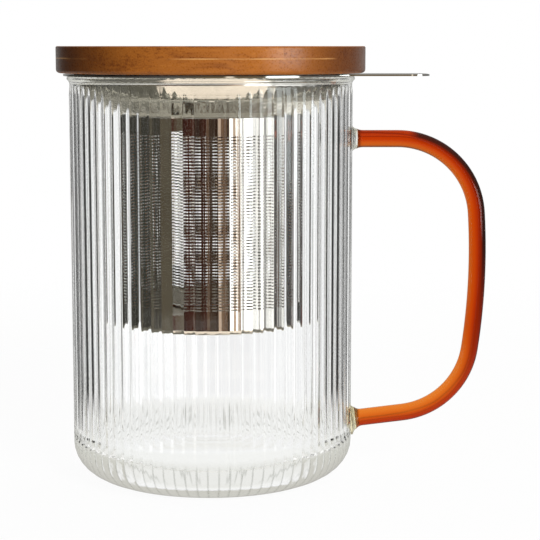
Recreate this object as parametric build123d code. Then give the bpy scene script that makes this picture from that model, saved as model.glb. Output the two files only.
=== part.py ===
from build123d import *
import os
from math import cos, radians, sin

# Lidded tea mug with a hanging infuser. Millimetres, +Z up. The origin is the centre of the
# mug's base, on the surface it stands on, and the handle and the infuser's tab point along +X.

# Glass body: a reeded beaker of borosilicate glass with a fire-polished lip
CREST_RADIUS = 42.6
CAVITY_RADIUS = 40.4
MUG_HEIGHT = 121.75
FLOOR_THICKNESS = 4.5
CAVITY_CORNER = 12.0
FOOT_RADIUS = 30.0
HEEL_HEIGHT = 10.7
RIB_COUNT = 82
RIB_DEPTH = 0.22
RIB_FOOT_ANGLE = 51.0
RIB_FULL_HEIGHT = 12.0
RIB_HEAD_LENGTH = 3.2
LIP_HEIGHT = 2.6
BEAD_RADIUS = 43.2
BEAD_ROUND = 0.75
LIP_INNER_ROUND = 1.0

# Handle: one bent rod of amber glass, welded on through two gathers of clear glass
ROD_RADIUS = 2.6
ARM_HEIGHT = 102.8
ARM_END = 56.3
UPPER_BEND = 24.2
UPPER_TURN = 86.0
GRIP_BOW = 200.0
GRIP_TURN = 12.0
LOWER_BEND = 23.5
LOWER_TURN = 75.0
GATHER_LENGTH = 1.4
GATHER_SINK = 1.6
ROD_FLARE_LENGTH = 1.6
UPPER_GATHER_RADIUS = 3.8
UPPER_FLARE_RADIUS = 3.0
LOWER_GATHER_RADIUS = 5.0
LOWER_FLARE_RADIUS = 3.4

# Infuser: a drawn collar of 0.5 mm sheet, an etched sleeve with a lapped seam, a pressed base
SHEET = 0.5
FLANGE_RADIUS = 44.2
COLLAR_RADIUS = 39.5
COLLAR_NECK_HEIGHT = 118.6
COLLAR_SHOULDER_RADIUS = 37.6
COLLAR_SHOULDER_HEIGHT = 115.8
COLLAR_FOOT_RADIUS = 28.8
COLLAR_FOOT_HEIGHT = 110.25
COLLAR_LIP_HEIGHT = 106.0
TAB_REACH = 65.2
TAB_WIDTH = 22.0
TAB_CORNER = 6.0
SLEEVE_RADIUS = 27.3
SLEEVE_SHEET = 0.25
SLEEVE_TOP = 109.6
SEAM_WIDTH = 3.9
SEAM_ANGLE = -118.0
BASE_HEIGHT = 47.15
BASE_SHEET = 0.4
BASE_EDGE = 1.35
BASE_WALL_TOP = 53.0

# Lid: two glued bamboo plies with a turned plug that carries a silicone seal
LID_RADIUS = 46.3
LID_BOTTOM = 122.6
LID_JOINT = 127.0
LID_TOP = 130.5
LID_TOP_EDGE = 0.5
LID_BOTTOM_EDGE = 1.1
PLUG_RADIUS = 36.6
PLUG_BOTTOM = 117.6
PLUG_EDGE = 0.8
GROOVE_DEPTH = 1.0
GROOVE_BOTTOM = 119.0
GROOVE_TOP = 121.4
SEAL_RADIUS = 41.0
SEAL_BODY_RADIUS = 37.5
SEAL_LIP_RADIUS = 38.85
SEAL_LIP_HEIGHT = 120.2
SEAL_LIP_THICKNESS = 0.7


def turned(*outline):
    """Solid of revolution about +Z from a closed outline of (radius, height) points."""
    return revolve(Plane.XZ * make_face(Polyline(*outline, close=True)), Axis.Z)


def rounding(centre, radius, start, end, steps):
    """Points along a rounding of an outline, from one angle in degrees to another."""
    turn = (end - start) / steps
    spoke = Vector(radius, 0)
    return [Vector(*centre) + spoke.rotate(Axis.Z, start + turn * step) for step in range(steps + 1)]


def heel_point(angle):
    """Radius and height on the heel, a quarter ellipse from the foot (0) to the wall (90)."""
    radius = FOOT_RADIUS + (CREST_RADIUS - FOOT_RADIUS) * sin(radians(angle))
    height = HEEL_HEIGHT * (1 - cos(radians(angle)))
    return radius, height


def rib_edge(radius, height, share):
    """Outline of one rib at a height: an outward arc between two valleys, at a share of full depth."""
    pitch = 360 / RIB_COUNT
    valley = Vector(radius - RIB_DEPTH * share, 0, height)
    crest = Vector(radius, 0, height).rotate(Axis.Z, pitch / 2)
    return ThreePointArc(valley, crest, valley.rotate(Axis.Z, pitch))


def ribbed_wall():
    """Solid ribbed cylinder: one rib's skin, patterned round the axis and closed at both ends."""
    lip_foot = MUG_HEIGHT - LIP_HEIGHT
    edges = [
        rib_edge(*heel_point(RIB_FOOT_ANGLE), 0.0),
        rib_edge(*heel_point((RIB_FOOT_ANGLE + 90) / 2), 0.5),
        rib_edge(CREST_RADIUS, RIB_FULL_HEIGHT, 1.0),
        rib_edge(CREST_RADIUS, lip_foot - RIB_HEAD_LENGTH, 1.0),
        rib_edge(CREST_RADIUS - RIB_DEPTH, lip_foot, 0.0),
    ]
    strips = [
        Shell.make_loft([Wire([lower]), Wire([upper])], ruled=True).face()
        for lower, upper in zip(edges, edges[1:])
    ]
    turns = [Rot(0, 0, 360 / RIB_COUNT * rib) for rib in range(RIB_COUNT)]
    skin = [turn * strip for turn in turns for strip in strips]
    skin += [make_face([turn * end for turn in turns]).face() for end in (edges[0], edges[-1])]
    return Solid(Shell(skin))


def foot():
    """The smooth lower part of the heel and the flat that the mug stands on."""
    steps = 3
    outline = [heel_point(RIB_FOOT_ANGLE * step / steps) for step in range(steps + 1)]
    return turned(*outline, (0, outline[-1][1]), (0, 0))


def cavity():
    """The smooth inside of the beaker, with a round corner at its floor."""
    corner = (CAVITY_RADIUS - CAVITY_CORNER, FLOOR_THICKNESS + CAVITY_CORNER)
    return turned(
        (0, FLOOR_THICKNESS),
        *rounding(corner, CAVITY_CORNER, -90, 0, 4),
        (CAVITY_RADIUS, MUG_HEIGHT),
        (0, MUG_HEIGHT),
    )


def lip():
    """The smooth band at the mouth, with a bead that stands a little proud of the ribs."""
    foot_height = MUG_HEIGHT - LIP_HEIGHT
    inner = (CAVITY_RADIUS + LIP_INNER_ROUND, MUG_HEIGHT - LIP_INNER_ROUND)
    bead = (BEAD_RADIUS - BEAD_ROUND, MUG_HEIGHT - BEAD_ROUND)
    return turned(
        (CAVITY_RADIUS, foot_height),
        *rounding(inner, LIP_INNER_ROUND, 180, 90, 2),
        *rounding(bead, BEAD_ROUND, 90, -75, 3),
        (CREST_RADIUS - RIB_DEPTH, foot_height),
    )


def mug_body():
    """The whole glass beaker: ribbed outside, smooth inside, with a thick floor."""
    return foot() + ribbed_wall() - cavity() + lip()


def handle_path():
    """Centre line of the rod: a straight arm, a bend, the bowed grip, a bend, a sloping arm."""
    gather_face = CREST_RADIUS + GATHER_LENGTH
    arm = Line((gather_face, ARM_HEIGHT), (ARM_END, ARM_HEIGHT))
    upper = JernArc(arm @ 1, arm % 1, UPPER_BEND, -UPPER_TURN)
    grip = JernArc(upper @ 1, upper % 1, GRIP_BOW, -GRIP_TURN)
    lower = JernArc(grip @ 1, grip % 1, LOWER_BEND, -LOWER_TURN)
    slope = lower % 1
    reach = ((lower @ 1).X - gather_face) / -slope.X
    foot = Line(lower @ 1, lower @ 1 + slope * reach)
    return Plane.XZ * Wire([*arm.edges(), *upper.edges(), *grip.edges(), *lower.edges(), *foot.edges()])


def flare(seat, wide_radius):
    """Widening of the rod where it melts into a gather; the seat's normal points along the rod."""
    return seat * turned(
        (0, 0),
        (wide_radius, 0),
        ((wide_radius + ROD_RADIUS) / 2 - 0.1, ROD_FLARE_LENGTH / 2.6),
        (ROD_RADIUS, ROD_FLARE_LENGTH),
        (0, ROD_FLARE_LENGTH),
    )


def gather(seat, rod_end_radius, wall_radius, body):
    """Clear gather of glass: flares from the rod's end to the wall and follows the ribs there."""
    flared = turned(
        (0, 0),
        (rod_end_radius, 0),
        ((rod_end_radius + wall_radius) / 2 - 0.2, -GATHER_LENGTH / 1.8),
        (wall_radius, -GATHER_LENGTH),
        (wall_radius, -GATHER_LENGTH - GATHER_SINK),
        (0, -GATHER_LENGTH - GATHER_SINK),
    )
    return seat * flared - body


def handle(body):
    """The amber rod and the two clear gathers that join it to the beaker."""
    path = handle_path()
    upper_seat = Plane(origin=path @ 0, z_dir=path % 0)
    lower_seat = Plane(origin=path @ 1, z_dir=-(path % 1))
    rod = sweep(upper_seat * Circle(ROD_RADIUS), path=path)
    rod += flare(upper_seat, UPPER_FLARE_RADIUS)
    rod += flare(lower_seat, LOWER_FLARE_RADIUS)
    return {
        "handle_rod": rod,
        "handle_upper_gather": gather(upper_seat, UPPER_FLARE_RADIUS, UPPER_GATHER_RADIUS, body),
        "handle_lower_gather": gather(lower_seat, LOWER_FLARE_RADIUS, LOWER_GATHER_RADIUS, body),
    }


def infuser_collar():
    """Flange, lifting tab and funnel, drawn from one sheet; the flange hangs on the mug's lip."""
    sheet_middle = MUG_HEIGHT + SHEET / 2
    wall_middle = COLLAR_RADIUS - SHEET / 2
    lip_middle = SLEEVE_RADIUS - SLEEVE_SHEET - SHEET / 2
    section = Polyline(
        (FLANGE_RADIUS, sheet_middle),
        (wall_middle, sheet_middle),
        (wall_middle, COLLAR_NECK_HEIGHT),
        (COLLAR_SHOULDER_RADIUS, COLLAR_SHOULDER_HEIGHT),
        (COLLAR_FOOT_RADIUS, COLLAR_FOOT_HEIGHT),
        (lip_middle, COLLAR_FOOT_HEIGHT),
        (lip_middle, COLLAR_LIP_HEIGHT),
    )
    collar = revolve(Plane.XZ * trace(section, SHEET), Axis.Z)
    root = COLLAR_RADIUS
    tab = Pos(root, 0) * Rectangle(2 * (TAB_REACH - root), TAB_WIDTH)
    tab = fillet(tab.vertices(), TAB_CORNER) - Circle(root)
    tab -= Pos(-TAB_REACH, 0) * Rectangle(2 * TAB_REACH, 2 * TAB_REACH)
    return collar + extrude(Pos(0, 0, MUG_HEIGHT) * tab, SHEET)


def basket_sleeve():
    """Rolled wall of the basket, with the doubled strip where its edges are lapped and welded."""
    bottom = BASE_HEIGHT + BASE_EDGE
    height = SLEEVE_TOP - bottom
    wall = extrude(Circle(SLEEVE_RADIUS) - Circle(SLEEVE_RADIUS - SLEEVE_SHEET), height)
    ring = Circle(SLEEVE_RADIUS + SLEEVE_SHEET) - Circle(SLEEVE_RADIUS)
    strip = ring & Pos(SLEEVE_RADIUS, 0) * Rectangle(4 * SHEET + SEAM_WIDTH, SEAM_WIDTH)
    seam = Rot(0, 0, SEAM_ANGLE) * extrude(strip, height)
    return Pos(0, 0, bottom) * (wall + seam)


def basket_base():
    """Pressed cap: its wall is spot-welded inside the sleeve, which stands on the cap's shoulder."""
    shoulder = BASE_HEIGHT + BASE_EDGE
    wall_outer = SLEEVE_RADIUS - SLEEVE_SHEET
    wall_inner = wall_outer - BASE_SHEET
    floor_top = BASE_HEIGHT + BASE_SHEET
    inner_edge = BASE_EDGE - BASE_SHEET
    return turned(
        (0, BASE_HEIGHT),
        (SLEEVE_RADIUS - BASE_EDGE, BASE_HEIGHT),
        (SLEEVE_RADIUS, shoulder),
        (wall_outer, shoulder),
        (wall_outer, BASE_WALL_TOP),
        (wall_inner, BASE_WALL_TOP),
        (wall_inner, floor_top + inner_edge),
        (wall_inner - inner_edge, floor_top),
        (0, floor_top),
    )


def ply(bottom, top):
    """One turned disc of bamboo."""
    return extrude(Pos(0, 0, bottom) * Circle(LID_RADIUS), top - bottom)


def lid_top_ply():
    """Upper ply of the lid, with its top edge just broken."""
    disc = ply(LID_JOINT, LID_TOP)
    return chamfer(disc.edges().group_by(Axis.Z)[-1], LID_TOP_EDGE)


def lid_bottom_ply():
    """Lower ply of the lid, with a rounded lower edge."""
    disc = ply(LID_BOTTOM, LID_JOINT)
    return chamfer(disc.edges().group_by(Axis.Z)[0], LID_BOTTOM_EDGE)


def lid_plug():
    """Turned plug glued under the lid, with the groove that holds the seal."""
    groove_radius = PLUG_RADIUS - GROOVE_DEPTH
    return turned(
        (0, PLUG_BOTTOM),
        (PLUG_RADIUS - PLUG_EDGE, PLUG_BOTTOM),
        (PLUG_RADIUS, PLUG_BOTTOM + PLUG_EDGE),
        (PLUG_RADIUS, GROOVE_BOTTOM),
        (groove_radius, GROOVE_BOTTOM),
        (groove_radius, GROOVE_TOP),
        (PLUG_RADIUS, GROOVE_TOP),
        (PLUG_RADIUS, LID_BOTTOM),
        (0, LID_BOTTOM),
    )


def lid_seal():
    """Silicone ring: a foot in the groove, a soft lip, and a brim that the lid rests on."""
    brim_bottom = MUG_HEIGHT + SHEET
    return turned(
        (PLUG_RADIUS - GROOVE_DEPTH, GROOVE_BOTTOM),
        (SEAL_BODY_RADIUS, GROOVE_BOTTOM),
        (SEAL_LIP_RADIUS, SEAL_LIP_HEIGHT),
        (SEAL_BODY_RADIUS, SEAL_LIP_HEIGHT + SEAL_LIP_THICKNESS),
        (SEAL_BODY_RADIUS, brim_bottom),
        (SEAL_RADIUS, brim_bottom),
        (SEAL_RADIUS, LID_BOTTOM),
        (PLUG_RADIUS, LID_BOTTOM),
        (PLUG_RADIUS, GROOVE_TOP),
        (PLUG_RADIUS - GROOVE_DEPTH, GROOVE_TOP),
    )


def build():
    """Every piece of the mug by name, each where it sits when the mug is closed."""
    body = mug_body()
    pieces = {"mug_body": body}
    pieces.update(handle(body))
    pieces["infuser_collar"] = infuser_collar()
    pieces["basket_sleeve"] = basket_sleeve()
    pieces["basket_base"] = basket_base()
    pieces["lid_top_ply"] = lid_top_ply()
    pieces["lid_bottom_ply"] = lid_bottom_ply()
    pieces["lid_plug"] = lid_plug()
    pieces["lid_seal"] = lid_seal()
    return pieces


os.makedirs("parts", exist_ok=True)
for name, piece in build().items():
    export_step(piece, f"parts/{name}.step")
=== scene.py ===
from math import atan2, cos, pi, radians, sin, sqrt

import bpy
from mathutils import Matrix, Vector


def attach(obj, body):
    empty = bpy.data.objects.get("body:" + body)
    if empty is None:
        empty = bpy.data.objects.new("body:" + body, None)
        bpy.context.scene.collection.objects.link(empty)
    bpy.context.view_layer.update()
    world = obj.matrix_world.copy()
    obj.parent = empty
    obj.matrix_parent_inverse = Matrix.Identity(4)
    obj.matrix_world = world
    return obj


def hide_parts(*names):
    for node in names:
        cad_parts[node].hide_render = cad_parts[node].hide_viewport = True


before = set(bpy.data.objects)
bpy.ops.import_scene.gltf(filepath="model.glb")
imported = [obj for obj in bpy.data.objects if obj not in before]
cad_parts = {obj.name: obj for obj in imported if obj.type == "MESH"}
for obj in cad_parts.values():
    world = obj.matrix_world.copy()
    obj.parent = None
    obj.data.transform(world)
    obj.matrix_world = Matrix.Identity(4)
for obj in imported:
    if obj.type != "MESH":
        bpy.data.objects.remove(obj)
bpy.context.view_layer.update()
scene = bpy.context.scene

# Camera. A long lens at the height of the lid, half a metre in front of the mug and looking
# a little down on it.
CAMERA_LENS = 110.1
CAMERA_PLACE = (0.0177, -0.5, 0.1305)
CAMERA_PITCH = 7.72

camera_data = bpy.data.cameras.new("studio_camera")
camera_data.lens = CAMERA_LENS
camera = bpy.data.objects.new("studio_camera", camera_data)
camera.location = CAMERA_PLACE
camera.rotation_euler = (radians(90 - CAMERA_PITCH), 0, 0)
scene.collection.objects.link(camera)
scene.camera = camera

scene.view_settings.view_transform = "Standard"

# Surround. Soft light panels, black flags and a warm room, told apart by compass direction, so
# that glass and metal have something to bend and mirror. The eye sees plain white.
WHITE = (1, 1, 1, 1)
OVERHEAD_RISE = (0.42, 0.70)


def add_node(tree, kind, **settings):
    """A node with its settings; inputs are set by name or number, or linked from a socket."""
    inputs = settings.pop("inputs", {})
    node = tree.nodes.new(kind)
    for name, value in settings.items():
        setattr(node, name, value)
    for name, value in inputs.items():
        if isinstance(value, bpy.types.NodeSocket):
            tree.links.new(value, node.inputs[name])
        else:
            node.inputs[name].default_value = value
    return node


def add_math(tree, operation, *values):
    """The result of one Math node."""
    inputs = dict(enumerate(values))
    return add_node(tree, "ShaderNodeMath", operation=operation, inputs=inputs).outputs[0]


def add_product(tree, result, *shares):
    """The product of several shares."""
    for share in shares:
        result = add_math(tree, "MULTIPLY", result, share)
    return result


def add_mix(tree, share, low, high):
    """A mixture of two colours by a share."""
    inputs = {0: share, 6: low, 7: high}
    node = add_node(tree, "ShaderNodeMix", data_type="RGBA", clamp_factor=True, inputs=inputs)
    return node.outputs[2]


def mix_shaders(tree, share, low, high):
    """A mixture of two shaders by a share."""
    inputs = {0: share, 1: low.outputs[0], 2: high.outputs[0]}
    return add_node(tree, "ShaderNodeMixShader", inputs=inputs)


def add_ramp(tree, share, stops):
    """A colour ramp with stops of (position, colour)."""
    node = add_node(tree, "ShaderNodeValToRGB", inputs={"Fac": share})
    elements = node.color_ramp.elements
    elements[0].position = stops[0][0]
    elements[1].position = stops[-1][0]
    for position, _ in stops[1:-1]:
        elements.new(position)
    for element, (_, colour) in zip(elements, stops):
        element.color = (*colour[:3], 1)
    return node.outputs["Color"]


def smooth_step(tree, value, low, high):
    """0 at low, 1 at high and smooth between them; low may be the greater of the two."""
    inputs = {"Value": value, "From Min": low, "From Max": high}
    node = add_node(tree, "ShaderNodeMapRange", interpolation_type="SMOOTHSTEP", inputs=inputs)
    return node.outputs["Result"]


def split_axes(tree, place):
    """The X, Y and Z of a place or direction."""
    return add_node(tree, "ShaderNodeSeparateXYZ", inputs={0: place}).outputs


def panel_ramp(tree, bearing, panels):
    """The colours of a table of panels, all round the compass; a single number is a grey."""
    rows = ((angle / 360, tone) for angle, tone in panels)
    stops = [(turn, (tone,) * 3 if isinstance(tone, float) else tone) for turn, tone in rows]
    return add_ramp(tree, bearing, stops)


def mix_over(tree, value, span, low, high):
    """A mixture that goes from one colour to the other over a span of a value."""
    return add_mix(tree, smooth_step(tree, value, *span), low, high)


surround = bpy.data.worlds.new("studio_surround")
surround.use_nodes = True
scene.world = surround
tree = surround.node_tree
tree.nodes.clear()
rays = add_node(tree, "ShaderNodeLightPath").outputs
axes = split_axes(tree, add_node(tree, "ShaderNodeTexCoord").outputs["Generated"])
turns = add_math(tree, "ARCTAN2", axes["X"], add_math(tree, "MULTIPLY", axes["Y"], -1.0))
turns = add_math(tree, "MULTIPLY", turns, 1 / (2 * pi))
bearing = add_math(tree, "FRACT", add_math(tree, "ADD", turns, 1.0))
depth = add_math(tree, "MULTIPLY", axes["Z"], -1.0)
overhead = smooth_step(tree, axes["Z"], *OVERHEAD_RISE)

# What shows through the glass. A row is degrees from straight ahead of the mug (-Y) towards +X,
# and a colour. A depth is the sine of the angle under the horizon: start and end of a change.
PANELS_BEHIND_GLASS = (
    (0, (0.10, 0.06, 0.05)),
    (34, (0.12, 0.08, 0.06)),
    (38, (1.0, 1.0, 0.98)),
    (104, (0.85, 0.86, 0.85)),
    (109, 0.025),
    (149, 0.03),
    (155, 0.56),
    (161, 1.10),
    (166, 1.26),
    (173, (1.0, 1.0, 1.01)),
    (187, (1.0, 1.0, 1.01)),
    (194, 1.26),
    (199, 1.10),
    (205, 0.72),
    (212, 0.05),
    (251, 0.025),
    (256, (0.60, 0.61, 0.58)),
    (286, (0.55, 0.55, 0.50)),
    (292, (0.14, 0.14, 0.11)),
    (345, (0.05, 0.03, 0.02)),
    (360, (0.10, 0.06, 0.05)),
)
UPPER_WALL_COLOUR = (0.86, 0.86, 0.84, 1)
UPPER_WALL_DEPTH = (-0.08, -0.20)
OVERHEAD_COLOUR = (0.80, 0.79, 0.77, 1)
TABLE_EDGE_COLOUR = (0.97, 0.97, 0.96, 1)
TABLE_COLOUR = (0.86, 0.86, 0.83, 1)
TABLE_DEPTH = (0.27, 0.35)
TABLE_SHADE_DEPTH = (0.42, 0.62)

behind_glass = panel_ramp(tree, bearing, PANELS_BEHIND_GLASS)
behind_glass = mix_over(tree, depth, UPPER_WALL_DEPTH, behind_glass, UPPER_WALL_COLOUR)
behind_glass = add_mix(tree, overhead, behind_glass, OVERHEAD_COLOUR)
table_colour = mix_over(tree, depth, TABLE_SHADE_DEPTH, TABLE_EDGE_COLOUR, TABLE_COLOUR)
behind_glass = mix_over(tree, depth, TABLE_DEPTH, behind_glass, table_colour)

# What shows through the handle's rod alone, and the front wall, seen from behind the mug. The
# counts of bounces are whole numbers, so the limits between them are halves.
PANELS_BEHIND_ROD = (
    (0, (0.75, 0.74, 0.72)),
    (100, (0.95, 0.94, 0.90)),
    (180, 1.0),
    (208, 1.0),
    (218, (0.10, 0.08, 0.07)),
    (252, (0.06, 0.05, 0.05)),
    (262, (0.50, 0.50, 0.48)),
    (360, (0.75, 0.74, 0.72)),
)
ROD_WALL_COLOUR = (0.30, 0.27, 0.25, 1)
ROD_WALL_DEPTH = (-0.30, -0.62)
FRONT_WALL_COLOUR = (0.95, 0.95, 0.94, 1)
FRONT_WALL_Y = (-0.2, -0.5)

behind_rod = panel_ramp(tree, bearing, PANELS_BEHIND_ROD)
behind_rod = mix_over(tree, depth, ROD_WALL_DEPTH, behind_rod, ROD_WALL_COLOUR)
unmirrored = add_math(tree, "LESS_THAN", rays["Glossy Depth"], 0.5)
through_rod = add_math(tree, "COMPARE", rays["Transmission Depth"], 2.0, 0.5)
through_rod = add_product(tree, through_rod, unmirrored)
behind_glass = add_mix(tree, through_rod, behind_glass, behind_rod)
from_behind = add_product(tree, unmirrored, smooth_step(tree, axes["Y"], *FRONT_WALL_Y))
behind_glass = add_mix(tree, from_behind, behind_glass, FRONT_WALL_COLOUR)

# What the polished steel mirrors: the walls, the table top, as the funnel sees it, and a plain
# pale tone for what is thrown steeply up or down between two bounces.
PANELS_IN_METAL = (
    (0, (0.045, 0.030, 0.020)),
    (8, (0.10, 0.052, 0.032)),
    (17, (0.30, 0.18, 0.11)),
    (22, (0.78, 0.56, 0.40)),
    (29, (0.95, 0.74, 0.58)),
    (32, (3.2, 3.2, 3.15)),
    (53, (3.2, 3.2, 3.15)),
    (56, 0.75),
    (60, 1.8),
    (84, (1.55, 1.56, 1.55)),
    (92, 0.35),
    (98, 0.80),
    (106, (0.045, 0.040, 0.045)),
    (146, 0.035),
    (152, 0.95),
    (208, 0.95),
    (215, (0.035, 0.034, 0.030)),
    (280, (0.050, 0.046, 0.036)),
    (290, (0.13, 0.115, 0.085)),
    (312, (0.15, 0.125, 0.085)),
    (321, (0.085, 0.030, 0.018)),
    (330, (0.060, 0.010, 0.004)),
    (347, (0.050, 0.009, 0.004)),
    (353, (0.028, 0.018, 0.011)),
    (360, (0.05, 0.035, 0.022)),
)
TABLE_IN_METAL = (
    (0, (1.45, 1.27, 1.06)),
    (50, (1.45, 1.27, 1.06)),
    (57, (0.60, 0.56, 0.48)),
    (64, (0.18, 0.175, 0.15)),
    (90, (0.12, 0.115, 0.095)),
    (145, (0.13, 0.125, 0.10)),
    (152, (1.0, 0.95, 0.85)),
    (192, (1.0, 0.95, 0.85)),
    (200, (0.13, 0.125, 0.10)),
    (312, (0.13, 0.125, 0.10)),
    (321, (1.45, 1.27, 1.06)),
    (360, (1.45, 1.27, 1.06)),
)
TABLE_IN_METAL_DEPTH = (0.26, 0.40)
HIGH_PANELS_IN_METAL = (0.95, 0.95, 0.93, 1)
HIGH_PANELS_DEPTH = (0.02, -0.06)
STEEP_IN_METAL = (0.72, 0.69, 0.60, 1)
STEEP_SINE = (0.22, 0.34)

in_metal = panel_ramp(tree, bearing, PANELS_IN_METAL)
in_metal = mix_over(tree, depth, HIGH_PANELS_DEPTH, in_metal, HIGH_PANELS_IN_METAL)
table_in_metal = panel_ramp(tree, bearing, TABLE_IN_METAL)
in_metal = mix_over(tree, depth, TABLE_IN_METAL_DEPTH, in_metal, table_in_metal)
steep = smooth_step(tree, add_math(tree, "ABSOLUTE", axes["Z"]), *STEEP_SINE)
steep = add_product(tree, steep, add_math(tree, "GREATER_THAN", rays["Glossy Depth"], 1.5))
in_metal = add_mix(tree, steep, in_metal, STEEP_IN_METAL)
between_walls = add_math(tree, "SUBTRACT", rays["Transmission Depth"], 1.5)
between_walls = add_math(tree, "ABSOLUTE", between_walls)
mirrored_share = add_math(tree, "MINIMUM", rays["Glossy Depth"], 1.0)
mirrored_share = add_product(
    tree, mirrored_share, add_math(tree, "GREATER_THAN", between_walls, 1.0)
)
panels = add_mix(tree, mirrored_share, behind_glass, in_metal)

# What lacquer, handle, tab and the outer face of the glass mirror, with no glass in front of
# them; a bright panel on the right gives the glass its long upright shine.
PANELS_OUTSIDE = (
    (0, (0.20, 0.15, 0.09)),
    (12, (0.20, 0.15, 0.09)),
    (14, (1.1, 0.98, 0.80)),
    (18, (1.1, 0.98, 0.80)),
    (20, (0.20, 0.15, 0.09)),
    (36, (0.20, 0.15, 0.09)),
    (92, (0.18, 0.17, 0.16)),
    (128, (0.16, 0.16, 0.15)),
    (150, (0.35, 0.35, 0.34)),
    (206, (0.35, 0.35, 0.34)),
    (222, (0.05, 0.05, 0.045)),
    (300, (0.05, 0.045, 0.04)),
    (335, (0.14, 0.13, 0.12)),
    (360, (0.20, 0.15, 0.09)),
)
OVERHEAD_OUTSIDE = (0.30, 0.30, 0.29, 1)
TABLE_OUTSIDE = (0.42, 0.41, 0.39, 1)
TABLE_OUTSIDE_DEPTH = (0.22, 0.34)
SHINE_PANEL = (5.0, 5.4, 5.4, 1)
SHINE_SIDES = ((43, 47), (74, 68))
SHINE_ENDS = ((0.10, 0.06), (-0.26, -0.20))

outside = panel_ramp(tree, bearing, PANELS_OUTSIDE)
shine = [smooth_step(tree, bearing, start / 360, end / 360) for start, end in SHINE_SIDES]
shine += [smooth_step(tree, depth, start, end) for start, end in SHINE_ENDS]
outside = add_mix(tree, add_product(tree, *shine), outside, SHINE_PANEL)
outside = add_mix(tree, overhead, outside, OVERHEAD_OUTSIDE)
outside = mix_over(tree, depth, TABLE_OUTSIDE_DEPTH, outside, TABLE_OUTSIDE)
bare_share = add_math(tree, "LESS_THAN", rays["Transmission Depth"], 0.5)
panels = add_mix(tree, add_product(tree, bare_share, mirrored_share), panels, outside)

# The soft light on matt surfaces, and the choice between it, the panels and plain white.
SOFT_LIGHT_STOPS = (
    (0, (0.46, 0.45, 0.44)),
    (30, (0.60, 0.59, 0.58)),
    (70, 0.34),
    (180, 0.40),
    (235, 0.18),
    (265, 0.03),
    (318, 0.04),
    (360, (0.46, 0.45, 0.44)),
)
SOFT_OVERHEAD = (0.45, 0.45, 0.44, 1)

soft_light = panel_ramp(tree, bearing, SOFT_LIGHT_STOPS)
soft_light = add_mix(tree, overhead, soft_light, SOFT_OVERHEAD)
soft, mirrored, white = (
    add_node(tree, "ShaderNodeBackground", inputs={"Color": colour, "Strength": 1.0})
    for colour in (soft_light, panels, WHITE)
)
sharp_rays = add_math(tree, "MAXIMUM", rays["Is Glossy Ray"], rays["Is Transmission Ray"])
seen = mix_shaders(tree, sharp_rays, soft, mirrored)
seen = mix_shaders(tree, rays["Is Camera Ray"], seen, white)
add_node(tree, "ShaderNodeOutputWorld", inputs={"Surface": seen.outputs[0]})

# Table and lamps. A round white table top that fades into the white around it and keeps the
# mug's shadow, a lamp over the camera and a weaker, broader one behind the mug.
TABLE_RADIUS = 0.8
TABLE_DROP = 0.0001
TABLE_SIDES = 96
TABLE_PAINT = (0.86, 0.86, 0.85, 1)
TABLE_FADE = (0.16, 0.5)
TABLE_GLOW = 0.96
LAMP_AIM = (0, 0, 0.09)
LAMPS = (
    # name, place, size, watts
    ("key_lamp", (0.40, -0.80, 0.50), 0.35, 7.2),
    ("back_lamp", (0.45, 0.75, 0.75), 0.60, 2.5),
)


def set_mode(mode):
    """Goes into edit mode or back out of it."""
    bpy.ops.object.mode_set(mode=mode)


def deselect_all():
    """Nothing selected, and no object in edit mode."""
    if bpy.context.object is not None and bpy.context.object.mode != "OBJECT":
        set_mode("OBJECT")
    bpy.ops.object.select_all(action="DESELECT")


def apply_place():
    """Puts the place, turn and scale of the selected piece into its mesh."""
    bpy.ops.object.transform_apply(location=True, rotation=True, scale=True)


def take_piece(name, scale=(1, 1, 1)):
    """The primitive that was just added, named and scaled, with its place in its mesh."""
    piece = bpy.context.object
    piece.name = name
    piece.scale = scale
    apply_place()
    return piece


def new_material(name):
    """A material with an empty node tree; returns it, its tree and the place on the piece."""
    material = bpy.data.materials.new(name)
    material.use_nodes = True
    tree = material.node_tree
    tree.nodes.clear()
    return material, tree, add_node(tree, "ShaderNodeTexCoord").outputs["Object"]


def add_vector(tree, operation, *values):
    """The result of one Vector Math node."""
    inputs = dict(enumerate(values))
    node = add_node(tree, "ShaderNodeVectorMath", operation=operation, inputs=inputs)
    return node.outputs["Value" if operation in ("LENGTH", "DOT_PRODUCT") else "Vector"]


def set_surface(tree, shader):
    """Ends a material with its shader."""
    add_node(tree, "ShaderNodeOutputMaterial", inputs={"Surface": shader.outputs[0]})


deselect_all()
bpy.ops.mesh.primitive_circle_add(
    vertices=TABLE_SIDES, radius=TABLE_RADIUS, fill_type="NGON", location=(0, 0, -TABLE_DROP)
)
table = take_piece("table_top")
paint, tree, place = new_material("table_white")
rays = add_node(tree, "ShaderNodeLightPath").outputs
seen_rays = add_math(tree, "MAXIMUM", rays["Is Camera Ray"], rays["Is Transmission Ray"])
matt = add_node(tree, "ShaderNodeBsdfDiffuse", inputs={"Color": TABLE_PAINT})
glow = add_node(tree, "ShaderNodeEmission", inputs={"Color": WHITE, "Strength": 1.0})
top = mix_shaders(tree, add_product(tree, seen_rays, TABLE_GLOW), matt, glow)
edge = smooth_step(tree, add_vector(tree, "LENGTH", place), *TABLE_FADE)
set_surface(tree, mix_shaders(tree, edge, top, add_node(tree, "ShaderNodeBsdfTransparent")))
table.data.materials.append(paint)
table.visible_glossy = False
table.visible_transmission = False

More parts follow.
